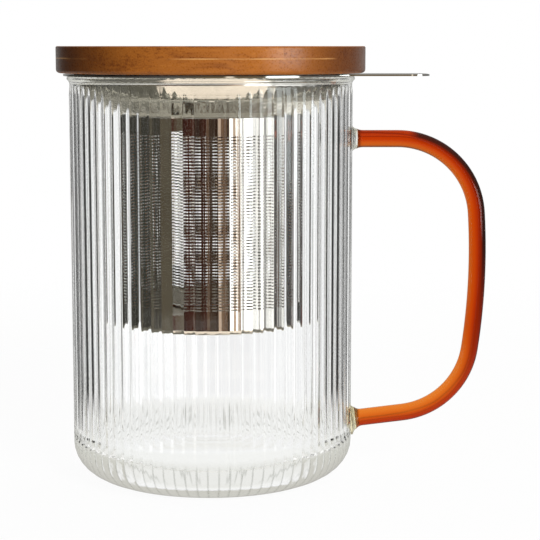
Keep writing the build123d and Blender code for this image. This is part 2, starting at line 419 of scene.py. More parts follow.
for name, spot, size, watts in LAMPS:
    lamp_data = bpy.data.lights.new(name, "AREA")
    lamp_data.shape = "DISK"
    lamp_data.size = size
    lamp_data.energy = watts
    lamp = bpy.data.objects.new(name, lamp_data)
    lamp.location = spot
    away = lamp.location - Vector(LAMP_AIM)
    lamp.rotation_euler = away.to_track_quat("Z", "Y").to_euler()
    lamp.visible_glossy = False
    lamp.visible_transmission = False
    scene.collection.objects.link(lamp)

# Glass body. A beaker of clear borosilicate glass, pressed with 82 ribs from the heel to just
# under the fire-polished lip. Each rib has an almost flat crown, and its straight flanks meet
# those of its neighbours in a sharp V.
RIB_COUNT = 82
RIB_DEPTH = 0.00022
RIB_STEPS = (0.0, 0.25, 0.46, 0.54, 0.75, 0.93, 1.0)  # shares of the way from crest to valley
RIB_CROWN_END = 0.50
RIB_CROWN_DROP = 0.06
RIB_FOOT = (0.0033, 0.0120)
RIB_HEAD = (0.1160, 0.1188)
RIB_HEAD_STEPS = 7
RIB_SINK_POWER = 1.6
CREST_RADIUS = 0.0426
CAVITY_RADIUS = 0.0404
MUG_HEIGHT = 0.12175
WALL_RINGS = (0.0128, 0.040, 0.080)
FLOOR_TOP = 0.0045
CORNER_RADIUS = 0.012
BASE_FLAT_RADIUS = 0.026
FOOT_RADIUS = 0.030
HEEL_HEIGHT = 0.0107
HEEL_STEPS = 9
NECK_DROP = 0.0023
BEAD_FOOT = (0.00012, 0.0019)  # out from the neck, down from the lip
BEAD_RADIUS = 0.0432
BEAD_ROUND = 0.00075
LIP_INNER_ROUND = 0.0010


def angle_of(place):
    """The angle of a place round the mug's axis."""
    return atan2(place.y, place.x)


def select_vertices(piece, test):
    """In edit mode, selects the vertices whose place passes the test, and what lies between."""
    bpy.ops.mesh.select_mode(type="VERT")
    bpy.ops.mesh.select_all(action="DESELECT")
    set_mode("OBJECT")
    for vertex in piece.data.vertices:
        vertex.select = test(vertex.co)
    set_mode("EDIT")


def select_all():
    """In edit mode, selects the whole piece."""
    bpy.ops.mesh.select_all(action="SELECT")


def extrude(step):
    """Extrudes what is selected by a step."""
    bpy.ops.mesh.extrude_region_move(TRANSFORM_OT_translate={"value": step})


def resize(growth, centre):
    """Scales what is selected along each axis, about a centre."""
    bpy.ops.transform.resize(value=growth, center_override=centre)


def close_up(threshold):
    """Merges the vertices closer than the threshold and turns all faces outwards."""
    select_all()
    bpy.ops.mesh.remove_doubles(threshold=threshold)
    bpy.ops.mesh.normals_make_consistent(inside=False)


def repeat_round(count, angle):
    """Copies the selected form round the mug's axis, until there are so many, an angle apart."""
    bpy.ops.mesh.spin(
        steps=count - 1, dupli=True, angle=angle * (count - 1), center=(0, 0, 0), axis=(0, 0, 1)
    )


def smooth_finish(piece, angle):
    """Shades a finished mesh smooth, apart from edges sharper than the angle in degrees."""
    deselect_all()
    piece.select_set(True)
    bpy.context.view_layer.objects.active = piece
    bpy.ops.object.shade_smooth_by_angle(angle=radians(angle))


def arc(centre, radius, start, end, steps):
    """Points of (radius, height) along an arc of a turned outline, angles in degrees."""
    angles = [radians(start + (end - start) * step / steps) for step in range(steps + 1)]
    return [(centre[0] + radius * cos(angle), centre[1] + radius * sin(angle)) for angle in angles]


def portion(height, low, high):
    """0 at low, 1 at high, and straight between them."""
    return min(max((height - low) / (high - low), 0.0), 1.0)


def rib_drop(share):
    """How far the glass lies under the crest, from 0 on the crest to 1 in the valley."""
    crown = min(share / RIB_CROWN_END, 1.0) ** 2
    flank = max(share - RIB_CROWN_END, 0.0) / (1 - RIB_CROWN_END)
    return RIB_CROWN_DROP * crown + (1 - RIB_CROWN_DROP) * flank


def ribbed_ring(radius, height):
    """Radii of a ring from crest to valley; the ribs rise out of the heel and, under the lip,
    sink to the level of their valleys."""
    risen = portion(height, *RIB_FOOT)
    depth = RIB_DEPTH * risen * risen * (3 - 2 * risen)
    sunk = RIB_DEPTH * portion(height, *RIB_HEAD) ** RIB_SINK_POWER
    return [max(radius - rib_drop(share) * depth - sunk, radius - depth) for share in RIB_STEPS]


neck_radius = CREST_RADIUS - RIB_DEPTH
outer_line = [(BASE_FLAT_RADIUS, 0.0)]
for out, up in arc((0, 0), 1, -90, 0, HEEL_STEPS):
    outer_line.append((FOOT_RADIUS + (CREST_RADIUS - FOOT_RADIUS) * out, HEEL_HEIGHT * (1 + up)))
outer_line += [(CREST_RADIUS, height) for height in WALL_RINGS]
for step in range(RIB_HEAD_STEPS + 1):
    height = RIB_HEAD[0] + (RIB_HEAD[1] - RIB_HEAD[0]) * step / RIB_HEAD_STEPS
    outer_line.append((CREST_RADIUS, height))
inner_line = [(neck_radius, MUG_HEIGHT - NECK_DROP)]
inner_line += [(neck_radius + BEAD_FOOT[0], MUG_HEIGHT - BEAD_FOOT[1])]
inner_line += arc((BEAD_RADIUS - BEAD_ROUND, MUG_HEIGHT - BEAD_ROUND), BEAD_ROUND, -60, 90, 8)
lip_centre = (CAVITY_RADIUS + LIP_INNER_ROUND, MUG_HEIGHT - LIP_INNER_ROUND)
inner_line += arc(lip_centre, LIP_INNER_ROUND, 90, 180, 6)
inner_line += [(CAVITY_RADIUS, height) for height in reversed(WALL_RINGS[1:])]
corner_centre = (CAVITY_RADIUS - CORNER_RADIUS, FLOOR_TOP + CORNER_RADIUS)
inner_line += arc(corner_centre, CORNER_RADIUS, 0, -90, 10)
rings = [(height, ribbed_ring(radius, height)) for radius, height in outer_line]
rings += [(height, [radius] * len(RIB_STEPS)) for radius, height in inner_line]

# one rib's width of the lowest ring is drawn up, in and down into the beaker, rib by rib
half_rib = pi / RIB_COUNT
half_edges = len(RIB_STEPS) - 1
edge_angle = half_rib / half_edges
first_radius = rings[0][1][0]
deselect_all()
bpy.ops.mesh.primitive_circle_add(
    vertices=2 * RIB_COUNT * half_edges, radius=first_radius, location=(0, 0, 0)
)
beaker = take_piece("glass_beaker")
set_mode("EDIT")
far = half_rib + 0.4 * edge_angle
select_vertices(beaker, lambda place: place.x < 0 or abs(angle_of(place)) > far)
bpy.ops.mesh.delete(type="VERT")
near = 0.3 * edge_angle
for number in range(half_edges - 1, 0, -1):
    turn = RIB_STEPS[number] * half_rib - number * edge_angle
    for side in (1, -1):
        start = side * number * edge_angle
        select_vertices(beaker, lambda place: abs(angle_of(place) - start) < near)
        bpy.ops.transform.rotate(value=-side * turn, orient_axis="Z", center_override=(0, 0, 0))
select_all()


def scale_ring(piece, height, old, new):
    """Scales the selected ring of a rib about the axis, each pair of vertices by its own share."""
    growth = [after / before for before, after in zip(old, new)]
    if max(growth) - min(growth) < 1e-9:
        resize((growth[0], growth[0], 1), (0, 0, height))
        return
    set_mode("OBJECT")
    vertices = piece.data.vertices
    ring = [vertex.index for vertex in vertices if vertex.select]
    shares = [abs(angle_of(vertices[index].co)) / half_rib for index in ring]
    pairs = [
        min(range(len(old)), key=lambda number: abs(RIB_STEPS[number] - share)) for share in shares
    ]
    for number, factor in enumerate(growth):
        piece.data.edges.foreach_set("select", [False] * len(piece.data.edges))
        for index, pair in zip(ring, pairs):
            piece.data.vertices[index].select = pair == number
        set_mode("EDIT")
        resize((factor, factor, 1), (0, 0, height))
        set_mode("OBJECT")
    for index in ring:
        piece.data.vertices[index].select = True
    set_mode("EDIT")


for (height, radii), (next_height, next_radii) in zip(rings, rings[1:]):
    extrude((0, 0, next_height - height))
    scale_ring(beaker, next_height, radii, next_radii)
extrude((0, 0, 0))
resize((0, 0, 1), (0, 0, FLOOR_TOP))
select_vertices(beaker, lambda place: place.z < 1e-6 and 0.001 < place.x < first_radius + 1e-5)
extrude((0, 0, 0))
resize((0, 0, 1), (0, 0, 0))
select_all()
bpy.ops.mesh.remove_doubles(threshold=1e-7)
select_all()
repeat_round(RIB_COUNT, 2 * pi / RIB_COUNT)
close_up(2e-6)
set_mode("OBJECT")
smooth_finish(beaker, 75)

CLEAR_GLASS_COLOUR = (0.985, 0.99, 0.988, 1)
GLASS_INDEX = 1.47
RIPPLE_DEPTH = 0.0004
TRAPPED_COLOUR = (0.92, 0.92, 0.90, 1)
TRAPPED_BOUNCES = 3.5
# Painted refraction: thin dark lines on the heel that stand in for the dark surround the ribs bend
# into view.
PAINTED_HEEL_LINE_COLOUR = (0.55, 0.56, 0.54, 1)
PAINTED_HEEL_LINE_WIDTH = (0.13, 0.02)
PAINTED_HEEL_LINE_REACH = (0.030, 0.036)
PAINTED_HEEL_LINE_HEIGHT = (0.0125, 0.0090)


def new_group(name, inputs, outputs):
    """A shader group with the kinds of its named sockets; returns it and what comes into it."""
    group = bpy.data.node_groups.new(name, "ShaderNodeTree")
    for in_out, sockets in (("INPUT", inputs), ("OUTPUT", outputs)):
        for socket, kind in sockets.items():
            kind = "NodeSocket" + kind
            group.interface.new_socket(name=socket, in_out=in_out, socket_type=kind)
    return group, add_node(group, "NodeGroupInput").outputs


def add_group(tree, group, inputs):
    """What a shader group puts out for its inputs."""
    return add_node(tree, "ShaderNodeGroup", node_tree=group, inputs=inputs).outputs


def add_noise(tree, place, scale, detail, roughness=0.5):
    """The grey of a noise texture."""
    inputs = {"Vector": place, "Scale": scale, "Detail": detail, "Roughness": roughness}
    return add_node(tree, "ShaderNodeTexNoise", inputs=inputs).outputs["Fac"]


def add_bump(tree, height, strength, distance, under=None):
    """The normal of a surface with a fine relief on it, over another relief if one is given."""
    inputs = {"Height": height, "Strength": strength, "Distance": distance}
    if under is not None:
        inputs["Normal"] = under
    return add_node(tree, "ShaderNodeBump", inputs=inputs).outputs["Normal"]


def solid_glass(tree, colour, index, normal):
    """The shader of solid glass."""
    glass = {"Base Color": colour, "Metallic": 0.0, "Roughness": 0.0, "IOR": index}
    glass.update({"Transmission Weight": 1.0, "Normal": normal})
    return add_node(tree, "ShaderNodeBsdfPrincipled", inputs=glass)


glass_ripple, entry = new_group(
    "glass_ripple", {"Place": "Vector", "Scale": "Float"}, {"Height": "Float"}
)
waves = add_noise(glass_ripple, entry["Place"], entry["Scale"], 1.0, 0.4)
add_node(glass_ripple, "NodeGroupOutput", inputs={"Height": waves})


def painted_heel_lines(tree, place):
    """Where the crowns of the ribs run over the heel: thin darker lines painted into the glass's
    colour, a painted refraction of the dark surround.
    """
    axes = split_axes(tree, place)
    turns = add_math(tree, "DIVIDE", add_math(tree, "ARCTAN2", axes["Y"], axes["X"]), 2 * pi)
    rib = add_math(tree, "FRACT", add_math(tree, "MULTIPLY_ADD", turns, RIB_COUNT, RIB_COUNT))
    off = add_math(tree, "ABSOLUTE", add_math(tree, "SUBTRACT", rib, 0.5))
    flat = add_node(tree, "ShaderNodeCombineXYZ", inputs={"X": axes["X"], "Y": axes["Y"]})
    reach = add_vector(tree, "LENGTH", flat.outputs[0])
    return add_product(
        tree,
        smooth_step(tree, off, *PAINTED_HEEL_LINE_WIDTH),
        smooth_step(tree, reach, *PAINTED_HEEL_LINE_REACH),
        smooth_step(tree, axes["Z"], *PAINTED_HEEL_LINE_HEIGHT),
    )


def glass_material(name, colour, ripple, scale, heel=False):
    """Clear glass whose surface ripples faintly, as flame-worked glass does; light that was thrown
    to and fro inside it passes on through, so that thick corners don't turn black."""
    material, tree, place = new_material(name)
    waves = add_group(tree, glass_ripple, {"Place": place, "Scale": scale})["Height"]
    # painted refraction lines: the heel turns darker where the rib crowns run over it
    if heel:
        colour = add_mix(tree, painted_heel_lines(tree, place), colour, PAINTED_HEEL_LINE_COLOUR)
    shader = solid_glass(tree, colour, GLASS_INDEX, add_bump(tree, waves, ripple, RIPPLE_DEPTH))
    bounces = add_node(tree, "ShaderNodeLightPath").outputs["Glossy Depth"]
    trapped = add_math(tree, "GREATER_THAN", bounces, TRAPPED_BOUNCES)
    released = add_node(tree, "ShaderNodeBsdfTransparent", inputs={"Color": TRAPPED_COLOUR})
    set_surface(tree, mix_shaders(tree, trapped, shader, released))
    return material


beaker.data.materials.append(
    glass_material("clear_pressed_glass", CLEAR_GLASS_COLOUR, 0.04, 55, heel=True)
)
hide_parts("mug_body")
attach(beaker, "mug")

# Handle. One rod of amber glass, heated and bent in three sweeps; its ends swell a little where
# they were pressed onto the clear gathers.
GATHER_FACE = 0.0440
ARM_HEIGHT = 0.1028
ARM_END = 0.0563
ROD_SIDES = 28
ROD_BENDS = (
    # centre x and z, turn in degrees, steps
    (0.0563, 0.0786, 86, 26),
    (-0.1191, 0.06635, 12, 14),
    (0.05568, 0.04177, 75, 24),
)
LOWER_SLOPE = 7.0
END_FLARE_LENGTH = 0.0018
# shares of the flare's length, and radius
UPPER_END_FLARE = ((0.0, 0.0030), (0.3, 0.00275), (0.7, 0.00263), (1.0, 0.0026))
LOWER_END_FLARE = ((0.0, 0.0026), (0.3, 0.00266), (0.7, 0.00294), (1.0, 0.0034))


def draw_flare(start, course, flare):
    """Draws the selected ring along its course and gives it the radii of a flare on the way."""
    for (done, old), (share, new) in zip(flare, flare[1:]):
        extrude(course * (share - done) * END_FLARE_LENGTH)
        resize([new / old] * 3, start + course * share * END_FLARE_LENGTH)


upper_end = Vector((GATHER_FACE, 0, ARM_HEIGHT))
deselect_all()
bpy.ops.mesh.primitive_circle_add(
    vertices=ROD_SIDES,
    radius=UPPER_END_FLARE[0][1],
    fill_type="NGON",
    location=upper_end,
    rotation=(0, pi / 2, 0),
)
rod = take_piece("amber_handle")
set_mode("EDIT")
select_all()
draw_flare(upper_end, Vector((1, 0, 0)), UPPER_END_FLARE)
extrude((ARM_END - GATHER_FACE - END_FLARE_LENGTH, 0, 0))
for centre_x, centre_z, turn, steps in ROD_BENDS:
    bpy.ops.mesh.spin(
        steps=steps, angle=-radians(turn), center=(centre_x, 0, centre_z), axis=(0, 1, 0)
    )
set_mode("OBJECT")
ring = [vertex.co for vertex in rod.data.vertices if vertex.select]
ring_x, ring_z = (sum(place[axis] for place in ring) / len(ring) for axis in (0, 2))
set_mode("EDIT")
bend_end = Vector((ring_x, 0, ring_z))
slope = Vector((-cos(radians(LOWER_SLOPE)), 0, -sin(radians(LOWER_SLOPE))))
lower_length = (ring_x - GATHER_FACE) / -slope.x
straight = slope * (lower_length - END_FLARE_LENGTH)
extrude(straight)
draw_flare(bend_end + straight, slope, LOWER_END_FLARE)
bpy.ops.mesh.select_mode(type="EDGE")
bpy.ops.mesh.edge_face_add()
select_all()
bpy.ops.mesh.normals_make_consistent(inside=False)
set_mode("OBJECT")
smooth_finish(rod, 40)

HANDLE_MIDDLE = (0.050, 0, 0.0625)
AMBER_INDEX = 1.26
AMBER_PAINTED_ACROSS = (
    # by facing, from the handle's inner side (0) to its outer side (1), colour; painted light and
    # shade, with a painted dark refraction line at 0.635
    (0.0, (0.46, 0.14, 0.030)),
    (0.14, (0.52, 0.11, 0.010)),
    (0.28, (0.64, 0.10, 0.004)),
    (0.42, (0.55, 0.045, 0.001)),
    (0.59, (0.50, 0.035, 0.001)),
    (0.635, (0.14, 0.005, 0.001)),
    (0.68, (0.50, 0.040, 0.001)),
    (0.86, (0.40, 0.024, 0.001)),
    (1.0, (0.42, 0.045, 0.006)),
)
STREAK_SCALE = (55, 420, 45)
STREAK_WANDER = 0.16
# each tint: its strength, and where it comes in, by x, by height (z) or across the rod; the
# lighter inner tint, the deep red and the near-black outer edge are painted light and shade, and
# the rod is also darker towards the wall
PAINTED_AMBER_LIGHT = (0.95, 0.27, 0.025, 1)
PAINTED_LIGHT_SHARE, PAINTED_LIGHT_Z, PAINTED_LIGHT_ACROSS = 0.65, (0.048, 0.022), (0.75, 0.35)
BEND_X, BEND_Z = (0.0590, 0.0630), (0.022, 0.040)
PAINTED_DEEP_SHADE = (0.26, 0.012, 0.001, 1)
PAINTED_DEEP_SHARE, PAINTED_DEEP_ACROSS = 0.75, (0.40, 0.66)
PAINTED_EDGE_SHADE = (0.008, 0.005, 0.004, 1)
PAINTED_EDGE_SHARE, PAINTED_EDGE_Z, PAINTED_EDGE_ACROSS = 0.97, (0.030, 0.075), (0.62, 0.78)
AMBER_NEAR_WALL_DARK = (0.06, 0.006, 0.001, 1)
NEAR_WALL_DARK_SHARE, NEAR_WALL_DARK_X = 0.8, (0.0456, 0.0441)


def stretched(tree, place, scale):
    """A place, stretched for a texture by its own scale along each axis."""
    inputs = {"Vector": place, "Scale": scale}
    return add_node(tree, "ShaderNodeMapping", inputs=inputs).outputs[0]


amber, tree, place = new_material("amber_glass")
axes = split_axes(tree, place)
surface = add_node(tree, "ShaderNodeNewGeometry").outputs
outward = add_vector(tree, "SUBTRACT", place, HANDLE_MIDDLE)
outward = add_vector(tree, "NORMALIZE", add_vector(tree, "MULTIPLY", outward, (1, 0, 1)))
across = add_vector(tree, "DOT_PRODUCT", outward, surface["Normal"])
facing = add_math(tree, "SUBTRACT", 1.0, add_product(tree, surface["Backfacing"], 2.0))
across = add_math(tree, "MULTIPLY_ADD", add_product(tree, across, facing), 0.5, 0.5)
streaks = add_noise(tree, stretched(tree, place, STREAK_SCALE), 1.0, 2.0)
wander = add_math(tree, "MULTIPLY_ADD", streaks, STREAK_WANDER, -STREAK_WANDER / 2)
# the amber's colour is painted by which way the surface faces: painted light and shade, and a
# painted refraction line
amber_and_painted_shade = add_ramp(tree, add_math(tree, "ADD", across, wander), AMBER_PAINTED_ACROSS)
# painted light: a lighter amber on the low inner side of the rod
light = smooth_step(tree, axes["Z"], *PAINTED_LIGHT_Z)
light = add_product(tree, light, smooth_step(tree, across, *PAINTED_LIGHT_ACROSS), PAINTED_LIGHT_SHARE)
amber_and_painted_shade = add_mix(tree, light, amber_and_painted_shade, PAINTED_AMBER_LIGHT)
bent = smooth_step(tree, axes["X"], *BEND_X)
bent = add_product(tree, bent, smooth_step(tree, axes["Z"], *BEND_Z))
# painted shade: deep red on the outer side of the bent part
painted_deep_shade = add_product(tree, bent, smooth_step(tree, across, *PAINTED_DEEP_ACROSS), PAINTED_DEEP_SHARE)
amber_and_painted_shade = add_mix(tree, painted_deep_shade, amber_and_painted_shade, PAINTED_DEEP_SHADE)
# painted shade: near-black on the outer edge of the upper bend and grip
painted_edge_shade = add_product(tree, smooth_step(tree, axes["Z"], *PAINTED_EDGE_Z), bent)
painted_edge_shade = add_product(tree, painted_edge_shade, smooth_step(tree, across, *PAINTED_EDGE_ACROSS), PAINTED_EDGE_SHARE)
amber_and_painted_shade = add_mix(tree, painted_edge_shade, amber_and_painted_shade, PAINTED_EDGE_SHADE)
# the rod turns darker towards the wall at its ends
near_wall = add_product(tree, smooth_step(tree, axes["X"], *NEAR_WALL_DARK_X), NEAR_WALL_DARK_SHARE)
amber_and_painted_shade = add_mix(tree, near_wall, amber_and_painted_shade, AMBER_NEAR_WALL_DARK)
relief = add_bump(tree, add_noise(tree, place, 90.0, 1.0), 0.06, 0.0003)
shader = solid_glass(tree, amber_and_painted_shade, AMBER_INDEX, relief)
# Thrown about in the ribs, the rod's colour would turn up far from it, so it stays out of sight.
rays = add_node(tree, "ShaderNodeLightPath").outputs
in_ribs = add_math(tree, "COMPARE", rays["Transmission Depth"], 1.5, 0.9)
in_ribs = add_product(tree, in_ribs, add_math(tree, "GREATER_THAN", rays["Glossy Depth"], 0.5))
unseen = add_node(tree, "ShaderNodeBsdfTransparent")
set_surface(tree, mix_shaders(tree, in_ribs, shader, unseen))
rod.data.materials.append(amber)
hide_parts("handle_rod")
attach(rod, "mug")

# Gathers. Two small blobs of clear glass that the rod's ends are fused to, flaring onto the
# ribbed wall; the lower one is larger and a little yellow from the flame.
GATHER_SIDES = 48
UPPER_GATHER_COLOUR = (0.93, 0.94, 0.90, 1)
LOWER_GATHER_COLOUR = (0.90, 0.82, 0.55, 1)
UPPER_GATHER = (
    # distance from the rod's end towards the wall, radius
    (0.0, 0.00300),
    (0.00035, 0.00304),
    (0.00080, 0.00322),
    (0.00115, 0.00350),
    (0.00140, 0.00380),
    (0.00175, 0.00383),
)
LOWER_GATHER = (
    (0.0, 0.00340),
    (0.00035, 0.00352),
    (0.00075, 0.00390),
    (0.00110, 0.00445),
    (0.00135, 0.00500),
    (0.00190, 0.00502),
)


def lathe(name, profile, sides):
    """A turned piece about +Z. The points of its profile are (radius, height): a closed ring, or
    a line that starts and ends on the axis."""
    deselect_all()
    on_axis = profile[0][0] == 0
    if on_axis:
        # merging the doubles closes the pole at a hair from the axis
        profile = [*profile[1:-1], (1e-7, profile[-1][1])]
    bpy.ops.mesh.primitive_circle_add(
        vertices=sides,
        radius=profile[0][0],
        fill_type="TRIFAN" if on_axis else "NOTHING",
        location=(0, 0, profile[0][1]),
    )
    piece = take_piece(name)
    set_mode("EDIT")
    bpy.ops.mesh.select_mode(type="EDGE")
    select_all()
    if on_axis:
        bpy.ops.mesh.select_mode(type="FACE")
        select_all()
        bpy.ops.mesh.region_to_loop()
    for (radius, height), (next_radius, next_height) in zip(profile, profile[1:]):
        extrude((0, 0, next_height - height))
        resize((next_radius / radius, next_radius / radius, 1), (0, 0, next_height))
    bpy.ops.mesh.select_mode(type="VERT")
    close_up(1e-6)
    set_mode("OBJECT")
    return piece


def gather(name, profile, face, lean, material):
    """One gather, lathed upright, then laid against the wall at the rod's end."""
    outline = [(0, 0), *((radius, -depth) for depth, radius in profile), (0, -profile[-1][0])]
    piece = lathe(name, outline, GATHER_SIDES)
    piece.rotation_euler = (0, radians(90 + lean), 0)
    piece.location = face
    apply_place()
    smooth_finish(piece, 40)
    piece.data.materials.append(material)
    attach(piece, "mug")
    return piece


gather_glass = glass_material("clear_gather_glass", UPPER_GATHER_COLOUR, 0.2, 160)
upper_gather = gather("upper_gather", UPPER_GATHER, upper_end, 0, gather_glass)
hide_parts("handle_upper_gather")
yellowed_glass = glass_material("yellowed_gather_glass", LOWER_GATHER_COLOUR, 0.3, 160)
lower_end = bend_end + slope * lower_length
lower_gather = gather("lower_gather", LOWER_GATHER, lower_end, -LOWER_SLOPE, yellowed_glass)
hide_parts("handle_lower_gather")

# Infuser collar. Flange, lifting tab and funnel, drawn from one sheet of polished stainless
# steel; the flange hangs on the glass lip and the tab was cut with the flange's blank.
SHEET = 0.0005
COLLAR_SIDES = 192
FLANGE_RADIUS = 0.0442
FLANGE_BEND = 0.0010
NECK_RADIUS = 0.0395
FUNNEL_TOP = 0.1183
SHOULDER_ROUND = 0.0042
SHOULDER_TURN = 56
FUNNEL_FOOT_RADIUS = 0.0288
FUNNEL_FOOT_HEIGHT = 0.11025
FUNNEL_FOOT_CURVE = ((0.0012, 0.00075), (0.0004, 0.00022), (-0.0004, 0.00003))  # out and up
COLLAR_LIP_RADIUS = 0.02680
COLLAR_LIP_BOTTOM = 0.1060
COLLAR_LIP_BEND = 0.0006
TAB_ROOT = 0.0420
TAB_REACH = 0.0652
TAB_HALF_WIDTH = 0.011
TAB_CORNER = 0.006
COLLAR_STEEL = (0.72, 0.705, 0.67, 1)
STEEL_SHADE = 0.86
CLOUD_SCALE = 70.0
DRAWING_SCALE = (2600, 2600, 60)
DRAWING_DEPTH = 0.00002
LEAN_SLOPE = 0.16
LEAN_FOOT = 0.1167


def apply_modifier(piece, kind, **settings):
    """Finishes a piece with a modifier, applied at once."""
    modifier = piece.modifiers.new(kind.lower(), kind)
    for name, value in settings.items():
        setattr(modifier, name, value)
    bpy.ops.object.modifier_apply(modifier=modifier.name)


def sheet_outline(middle, thickness):
    """The closed outline of a sheet from the points along its middle."""
    faces = ([], [])
    for number, (radius, height) in enumerate(middle):
        before = middle[max(number - 1, 0)]
        after = middle[min(number + 1, len(middle) - 1)]
        run = (after[0] - before[0], after[1] - before[1])
        length = sqrt(run[0] ** 2 + run[1] ** 2)
        across = (-run[1] / length * thickness / 2, run[0] / length * thickness / 2)
        faces[0].append((radius + across[0], height + across[1]))
        faces[1].append((radius - across[0], height - across[1]))
    outline = faces[0] + faces[1][::-1]
    return outline + outline[:1]


def add_range(tree, value, low, high, to_low, to_high):
    """A value, carried over from one range to another in a straight line."""
    inputs = {"Value": value, "From Min": low, "From Max": high}
    inputs.update({"To Min": to_low, "To Max": to_high})
    return add_node(tree, "ShaderNodeMapRange", inputs=inputs).outputs["Result"]


sheet_polish, entry = new_group(
    "sheet_polish",
    {"Place": "Vector", "Colour": "Color", "Shaded Colour": "Color", "Roughness": "Float"},
    {"Colour": "Color", "Roughness": "Float", "Height": "Float"},
)
tree = sheet_polish
clouds = add_noise(tree, entry["Place"], CLOUD_SCALE, 3.0)
dulling = add_range(tree, clouds, 0.3, 0.7, 0.7, 1.35)
drawn = stretched(tree, entry["Place"], DRAWING_SCALE)
sheet_finish = {
    "Colour": mix_over(tree, clouds, (0.35, 0.7), entry["Colour"], entry["Shaded Colour"]),
    "Roughness": add_product(tree, dulling, entry["Roughness"]),
    "Height": add_noise(tree, drawn, 1.0, 2.0),
}
add_node(tree, "NodeGroupOutput", inputs=sheet_finish)


def steel_material(name, colour, roughness, brushing, lean=None):
    """Polished stainless sheet: faint upright drawing lines, small clouds in the polish. Between
    the two heights of lean, the wall draws in a little towards the foot."""
    material, tree, place = new_material(name)
    shaded = (*(part * STEEL_SHADE for part in colour[:3]), 1)
    polish = {"Place": place, "Colour": colour, "Shaded Colour": shaded, "Roughness": roughness}
    finish = add_group(tree, sheet_polish, polish)
    relief = add_bump(tree, finish["Height"], brushing, DRAWING_DEPTH)
    if lean is not None:
        rise = split_axes(tree, place)["Z"]
        swell = add_math(tree, "MINIMUM", add_math(tree, "MAXIMUM", rise, lean[0]), lean[1])
        relief = add_bump(tree, swell, 1.0, LEAN_SLOPE, relief)
    steel = {"Base Color": finish["Colour"], "Metallic": 1.0}
    steel.update({"Roughness": finish["Roughness"], "Normal": relief})
    set_surface(tree, add_node(tree, "ShaderNodeBsdfPrincipled", inputs=steel))
    return material


flange_middle = MUG_HEIGHT + SHEET / 2
neck = NECK_RADIUS - SHEET / 2
middle_line = [(FLANGE_RADIUS, flange_middle), (neck + 0.0014, flange_middle)]
middle_line += arc((neck + FLANGE_BEND, flange_middle - FLANGE_BEND), FLANGE_BEND, 90, 180, 6)
middle_line += [(neck, FUNNEL_TOP)]
shoulder_centre = (neck - SHOULDER_ROUND, FUNNEL_TOP)
middle_line += arc(shoulder_centre, SHOULDER_ROUND, 0, -SHOULDER_TURN, 9)[1:]
for out, up in FUNNEL_FOOT_CURVE:
    middle_line.append((FUNNEL_FOOT_RADIUS + out, FUNNEL_FOOT_HEIGHT + up))
bend_radius = COLLAR_LIP_RADIUS + COLLAR_LIP_BEND
middle_line += [(bend_radius, FUNNEL_FOOT_HEIGHT)]
bend_centre = (bend_radius, FUNNEL_FOOT_HEIGHT - COLLAR_LIP_BEND)
middle_line += arc(bend_centre, COLLAR_LIP_BEND, 90, 180, 4)[1:]
middle_line += [(COLLAR_LIP_RADIUS, COLLAR_LIP_BOTTOM)]
collar = lathe("infuser_funnel", sheet_outline(middle_line, SHEET), COLLAR_SIDES)

deselect_all()
bpy.ops.mesh.primitive_plane_add(size=1, location=((TAB_ROOT + TAB_REACH) / 2, 0, MUG_HEIGHT))
tab = take_piece("lifting_tab", (TAB_REACH - TAB_ROOT, 2 * TAB_HALF_WIDTH, 1))
set_mode("EDIT")
select_vertices(tab, lambda place: place.x > TAB_REACH - 0.001)
bpy.ops.mesh.bevel(offset=TAB_CORNER, offset_type="OFFSET", segments=8, affect="VERTICES")
select_all()
extrude((0, 0, SHEET))
select_all()
bpy.ops.mesh.normals_make_consistent(inside=False)
set_mode("OBJECT")

deselect_all()
collar.select_set(True)
bpy.context.view_layer.objects.active = collar
apply_modifier(collar, "BOOLEAN", operation="UNION", solver="EXACT", object=tab)
bpy.data.objects.remove(tab)
smooth_finish(collar, 32)
collar.data.materials.append(
    steel_material("polished_steel", COLLAR_STEEL, 0.05, 0.05, (LEAN_FOOT, MUG_HEIGHT))
)
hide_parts("infuser_collar")
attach(collar, "infuser")

# Infuser sleeve. Thin stainless sheet, etched with 55 rows of fine holes, rolled into a tube and
# spot-welded along a lap, which stays without holes. It is made in three belts.
SLEEVE_RADIUS = 0.0273
SLEEVE_SHEET = 0.00025
SLEEVE_BOTTOM = 0.0485
SLEEVE_TOP = 0.1096
HOLE_ROWS = 55
HOLE_COLUMNS = 182
HOLES_BOTTOM = 0.0541
HOLES_TOP = 0.1048
HOLE_WIDTH = 0.70  # share of a column's width
HOLE_HEIGHT = 0.49  # share of a row's height
HOLE_INSET = 0.2
HOLE_CORNER = 0.13
BELT_NAMES = ("sleeve_lower_belt", "sleeve_middle_belt", "sleeve_upper_belt")
SEAM_WIDTH = 0.0039
SEAM_ANGLE = -118.0
SLEEVE_STEEL = (0.68, 0.665, 0.63, 1)

seam_turn = SEAM_WIDTH / SLEEVE_RADIUS
row_pitch = (HOLES_TOP - HOLES_BOTTOM) / HOLE_ROWS
column_angle = (2 * pi - seam_turn) / HOLE_COLUMNS
column_width = 2 * SLEEVE_RADIUS * sin(column_angle / 2)
column_place = SLEEVE_RADIUS * cos(column_angle / 2)
sleeve_steel = steel_material("etched_steel", SLEEVE_STEEL, 0.035, 0.04)


